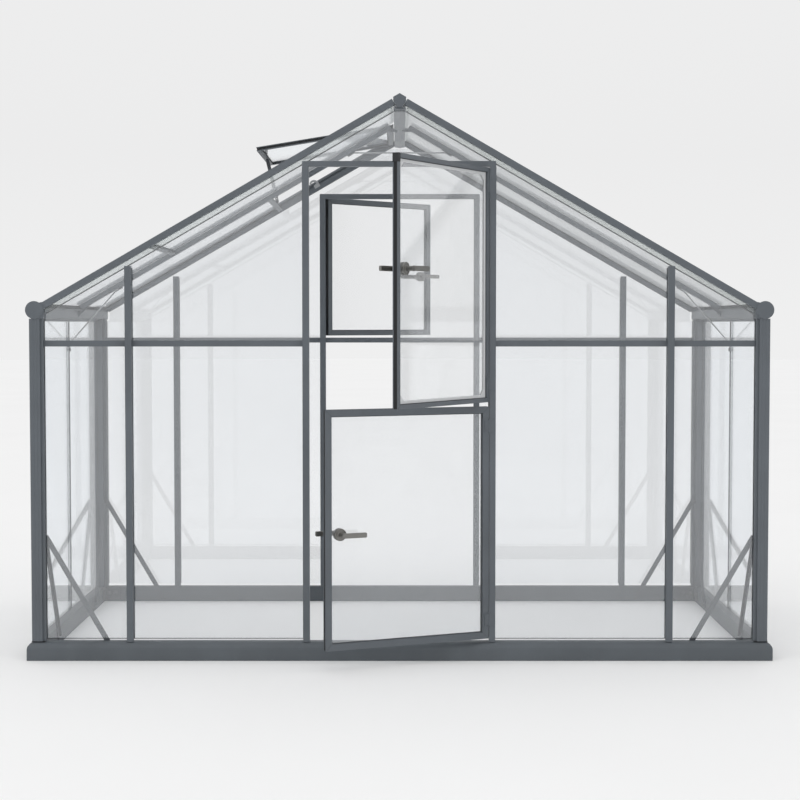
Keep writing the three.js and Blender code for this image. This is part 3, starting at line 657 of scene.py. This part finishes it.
# ---- hinges and seals of the leaves
LEAVES = {
    # body: hinge x, y, angle, width, z0, z1, rail, thickness, hinge heights
    "lower_door": (369.5, 0.0, 23.2, 722.5, 90.0, 1055.0, 27.0, 25.0, (170, 975)),
    "upper_door": (369.5, 0.0, 58.7, 722.5, 1073.0, 2035.0, 17.0, 24.0, (1150, 1960)),
    "rear_window": (-374.0, 1529.5, 223.8, 720.0, 1337.0, 2026.5, 25.0, 25.0, (1400, 1962)),
}
fixed = bmesh.new()
for body, (hx, hy, deg, w, z0, z1, rail, t, heights) in LEAVES.items():
    mat = Matrix.Translation(vec(hx, hy, 0) * MM) @ Matrix.Rotation(math.radians(deg), 4, "Z")
    # hinges: the leaf half rides the leaf, the other half the surround
    hb = bmesh.new()
    sgn = 1 if body != "rear_window" else -1
    for zc in heights:
        for k, dz in enumerate((-30, -18, -6, 6, 18)):
            c = vec(0, 0, zc + dz)
            barrel = [(4.1, 0.2), (4.6, 0.7), (4.6, 11.3), (4.1, 11.8)]
            if k % 2:
                turned(hb, c, Z, barrel, 16)
            else:
                turned(fixed, vec(hx, hy, zc + dz), Z, barrel, 16)
        sweep(hb, [(-1.3, -24), (-1.3, 24), (1.3, 24), (1.3, -24)], vec(-2.5, -1.4, zc), vec(-20, -1.4, zc), Z)
        for dz in (-14, 14):
            turned(hb, vec(-12.5, -2.6, zc + dz), -Y, [(2.6, 0), (2.6, 0.7), (1.9, 1.2)], 14)
        if body != "rear_window":
            sweep(fixed, [(-1.2, -26), (-1.2, 26), (1.2, 26), (1.2, -26)], vec(hx + 3, -1.3, zc), vec(hx + 23, -1.3, zc), Z)
        else:
            sweep(fixed, [(-1.2, -26), (-1.2, 26), (1.2, 26), (1.2, -26)], vec(hx - 3, hy - 11.5, zc), vec(hx - 16, hy - 11.5, zc), Z)
            sweep(fixed, [(-1.2, -26), (-1.2, 26), (1.2, 26), (1.2, -26)], vec(hx - 2.8, hy - 12.5, zc), vec(hx - 2.8, hy - 2, zc), Z)
    piece(body + "_hinge_leaves", hb, "leaf", body, mat, bevel=0.3)
    # ribbed black seal lying in the edge channel all round the leaf
    sb = bmesh.new()
    d = rail - 11 + 0.3
    prof = [(d - 1, 4.3), (2.4, 4.3), (1.2, 5.6), (2.4, 7.0), (2.4, t / 2 - 1.6), (3.6, t / 2 - 0.6), (3.6, t / 2 + 0.6), (2.4, t / 2 + 1.6),
            (2.4, t - 7.0), (1.2, t - 5.6), (2.4, t - 4.3), (d - 1, t - 4.3)]
    loop(sb, -w, z0, 0, z1, prof)
    piece(body + "_edge_seal", sb, "rubber", body, mat)
    # glazing gasket on both faces of the pane
    gb = bmesh.new()
    loop(gb, -w, z0, 0, z1, [(rail - 1.5, 11.0), (rail - 1.5, 9.0), (rail + 1.0, 8.2), (rail + 3.2, 9.4), (rail + 3.4, 10.9)])
    loop(gb, -w, z0, 0, z1, [(rail - 1.5, 15.1), (rail + 3.4, 15.1), (rail + 3.2, 16.6), (rail + 1.0, 17.6), (rail - 1.5, 17.0)])
    piece(body + "_gasket", gb, "seal", body, mat)
    if body == "upper_door":
        # pale glazing bead all round the pane, with a small gusset in each corner
        pb = bmesh.new()
        for y0, y1 in ((8.4, 10.9), (15.1, 17.6)):
            out_y, in_y = (y0, y1) if y0 < 11 else (y1, y0)
            loop(pb, -w, z0, 0, z1, [(rail + 3.0, in_y), (rail + 3.0, out_y), (rail + 11.0, out_y), (rail + 14.0, in_y)])
            for cx, cz, sx, sz in ((-w, z0, 1, 1), (0, z0, -1, 1), (0, z1, -1, -1), (-w, z1, 1, -1)):
                ax, az = cx + sx * (rail + 12), cz + sz * (rail + 12)
                plate(pb, [(ax, az), (ax + sx * 26, az), (ax + sx * 22, az + sz * 6), (ax + sx * 6, az + sz * 22), (ax, az + sz * 26)], y0, y1)
        piece("upper_door_bead", pb, "bead", body, mat)
        # moulded cap on the top of the free edge
        cb = bmesh.new()
        plate(cb, [(-w - 0.6, z1 - 34), (-w + 15, z1 - 34), (-w + 17.6, z1 - 30), (-w + 17.6, z1 + 0.6), (-w - 0.6, z1 + 0.6)], -0.8, t + 0.8)
        piece("upper_door_end_cap", cb, "rubber", body, mat, bevel=1.2)
    # mitre joints at the four corners: fine dark seams on both faces
    mb = bmesh.new()
    for cx, cz, sx, sz in ((-w, z0, 1, 1), (0, z0, -1, 1), (0, z1, -1, -1), (-w, z1, 1, -1)):
        for yy, nn in ((0.0, -1), (t, 1)):
            sweep(mb, [(-0.35, -0.05), (-0.35, 0.12), (0.35, 0.12), (0.35, -0.05)],
                  vec(cx + sx * 1.2, yy, cz + sz * 1.2), vec(cx + sx * (rail - 0.6), yy, cz + sz * (rail - 0.6)), nn * Y)
    piece(body + "_mitre_seams", mb, "rubber", body, mat)
piece("surround_hinge_halves", fixed, "frame", bevel=0.3)

# stop seal on the hinge jamb, behind the closed leaves
bm = bmesh.new()
sweep(bm, ribbed(9, 4.6), vec(JR[0], 32, 92), vec(JR[0], 32, 2033), -X)
piece("jamb_stop_seal", bm, "rubber")

# ---- lever details: rosette rims, neck collars, spindle screws
for body, leaf_body, lz in (("lower_handle", "lower_door", 555.0), ("upper_handle", "upper_door", 1604.5), ("window_handle", "rear_window", 1645.0)):
    hx, hy, deg = LEAVES[leaf_body][:3]
    mat = Matrix.Translation(vec(hx, hy, 0) * MM) @ Matrix.Rotation(math.radians(deg), 4, "Z")
    lb = bmesh.new()
    u = -657.0
    turned(lb, vec(u, 3.6, lz), -Y, [(25.0, 0), (25.0, 1.2), (22.8, 2.4), (21.6, 1.9), (13.5, 2.2), (12.2, 3.6), (10.6, 4.0)], 48)
    turned(lb, vec(u, 22.4, lz), Y, [(25.0, 0), (25.0, 1.2), (22.8, 2.4), (21.6, 1.9), (13.5, 2.2), (12.2, 3.6), (10.6, 4.0)], 48)
    for yy, n in ((-44, -1), (74, 1)):
        turned(lb, vec(u, yy - n * 0.2, lz), n * Y, [(7.6, 0), (7.6, 0.7), (6.4, 1.3), (5.0, 1.3), (4.6, 0.7)], 28)
    turned(lb, vec(u, -31.5, lz), Y, [(10.6, 0), (11.4, 1.0), (11.4, 3.0), (10.4, 4.0)], 28)
    turned(lb, vec(u, 62.0, lz), -Y, [(10.6, 0), (11.4, 1.0), (11.4, 3.0), (10.4, 4.0)], 28)
    piece(body + "_rosettes", lb, "lever", body, mat, bevel=0.3, smooth=False)

# ---- roof vent: hinge roll, edge seal, gasket and sill peg
VP = vec(-(44 * COS30) + 12 * SIN30, 0, APEX - 44 * SIN30 - 12 * COS30)
vmat = Matrix.Translation(VP * MM) @ Matrix.Rotation(math.radians(-9.3), 4, "Y")
vx0, vx1, vy0, vy1 = -631.0, -4.0, 778.0, 1487.0
bm = bmesh.new()
loop(bm, vx0, vy0, vx1, vy1, [(11, -13.7), (2.2, -13.7), (1.0, -12.4), (2.2, -11.0), (2.2, -7.0), (1.0, -5.6), (2.2, -4.3), (11, -4.3)], flat=True)
piece("vent_edge_seal", bm, "rubber", "roof_vent", vmat)
bm = bmesh.new()
loop(bm, vx0, vy0, vx1, vy1, [(20.5, -11.0), (20.5, -13.2), (23, -14.0), (25.2, -12.8), (25.4, -11.1)], flat=True)
loop(bm, vx0, vy0, vx1, vy1, [(20.5, -6.9), (25.4, -6.9), (25.2, -5.4), (23, -4.4), (20.5, -5.0)], flat=True)
piece("vent_gasket", bm, "rubber", "roof_vent", vmat)
bm = bmesh.new()
turned(bm, VP + vec(0, 784, 0), Y, [(3.0, 0), (3.6, 0.8), (3.6, 696), (3.0, 697)], 18)
piece("vent_hinge_roll", bm, "frame", smooth=True)
bm = bmesh.new()
sill = slope_pt(-1, 700, 1132.5, -9.0)
plate(bm, [(sill.x - 8, sill.z - 20), (sill.x - 8, sill.z + 2), (sill.x + 8, sill.z + 11), (sill.x + 8, sill.z - 20)], 1139.5, 1142)
turned(bm, vec(sill.x, 1139.5, sill.z - 2), -Y, [(2.2, 0), (2.2, 5.0), (1.6, 5.6)], 14)
piece("vent_sill_peg", bm, "tie", bevel=0.3)
bm = bmesh.new()
hook = [(468, -20), (468, 4), (474, 16), (484, 23), (497, 25), (508, 20), (514, 10), (508, 6), (501, 13), (491, 15), (483, 10), (480, 2), (498, -4), (498, -20)]
plate(bm, [(slope_pt(-1, a, 0, b).x, slope_pt(-1, a, 0, b).z) for a, b in hook], 1488.1, 1489.8)
turned(bm, slope_pt(-1, 476, 1488.3, -14), -Y, [(2.4, 0), (2.4, 0.3), (1.8, 0.6)], 14)
piece("vent_catch_plate", bm, "tie", bevel=0.3)
